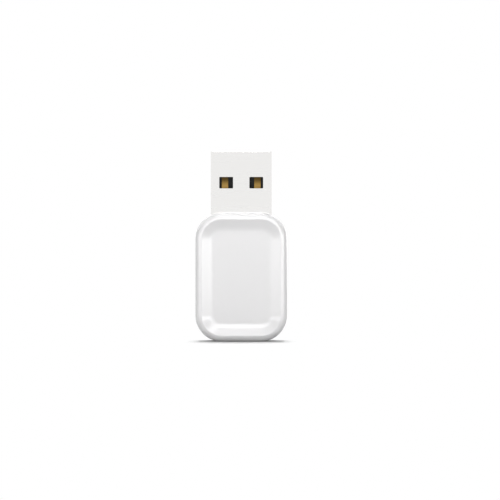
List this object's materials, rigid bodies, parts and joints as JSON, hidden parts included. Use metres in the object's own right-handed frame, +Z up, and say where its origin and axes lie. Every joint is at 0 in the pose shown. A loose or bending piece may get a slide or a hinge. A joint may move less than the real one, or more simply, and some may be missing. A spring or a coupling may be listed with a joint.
{
  "type": "smart home usb radio stick",
  "caption": "White two-part moulded housing with a dished face on each side and a full-size USB plug standing out of one end, with its circuit board inside.",
  "frame": {"origin": "middle of the flat end that the stick stands on, at the parting plane of the housing", "axes": "+Z up through the plug, +X to the right seen from the front, -Y out of the front face with the latch windows that show the contacts"},
  "size_m": [0.018, 0.0084, 0.0374],
  "materials": {
    "white_plastic": "satin moulded white",
    "plug_steel": "satin nickel plating",
    "black_plastic": "moulded black",
    "contact_gold": "gold plating",
    "board": "green solder mask",
    "chip_black": "moulded package",
    "chip_ceramic": "fired ceramic with tinned ends",
    "aerial_ceramic": "pale fired ceramic with tinned ends",
    "ferrite": "dark ferrite with tinned ends",
    "crystal_metal": "metal lid on a ceramic base"
  },
  "bodies": {
    "root": {"front_housing": "white_plastic", "rear_housing": "white_plastic", "plug_shell": "plug_steel", "plug_insulator": "black_plastic", "power_contact": "contact_gold", "ground_contact": "contact_gold", "data_minus_contact": "contact_gold", "data_plus_contact": "contact_gold", "circuit_board": "board", "chip_antenna": "aerial_ceramic", "tuning_inductor": "ferrite", "tuning_capacitor": "chip_ceramic", "radio_chip": "chip_black", "radio_crystal": "crystal_metal", "power_inductor": "ferrite", "usb_bridge_chip": "chip_black", "voltage_regulator": "chip_black", "surge_protector": "chip_black", "ferrite_bead": "ferrite", "capacitor_1": "chip_ceramic", "capacitor_2": "chip_ceramic", "capacitor_3": "chip_ceramic", "capacitor_4": "chip_ceramic", "capacitor_5": "chip_ceramic", "capacitor_6": "chip_ceramic", "capacitor_7": "chip_ceramic", "capacitor_8": "chip_ceramic", "capacitor_9": "chip_ceramic", "capacitor_10": "chip_ceramic", "capacitor_11": "chip_ceramic", "capacitor_12": "chip_ceramic", "capacitor_13": "chip_ceramic", "capacitor_14": "chip_ceramic", "resistor_1": "chip_black", "resistor_2": "chip_black", "resistor_3": "chip_black", "resistor_4": "chip_black"}
  },
  "joints": []
}
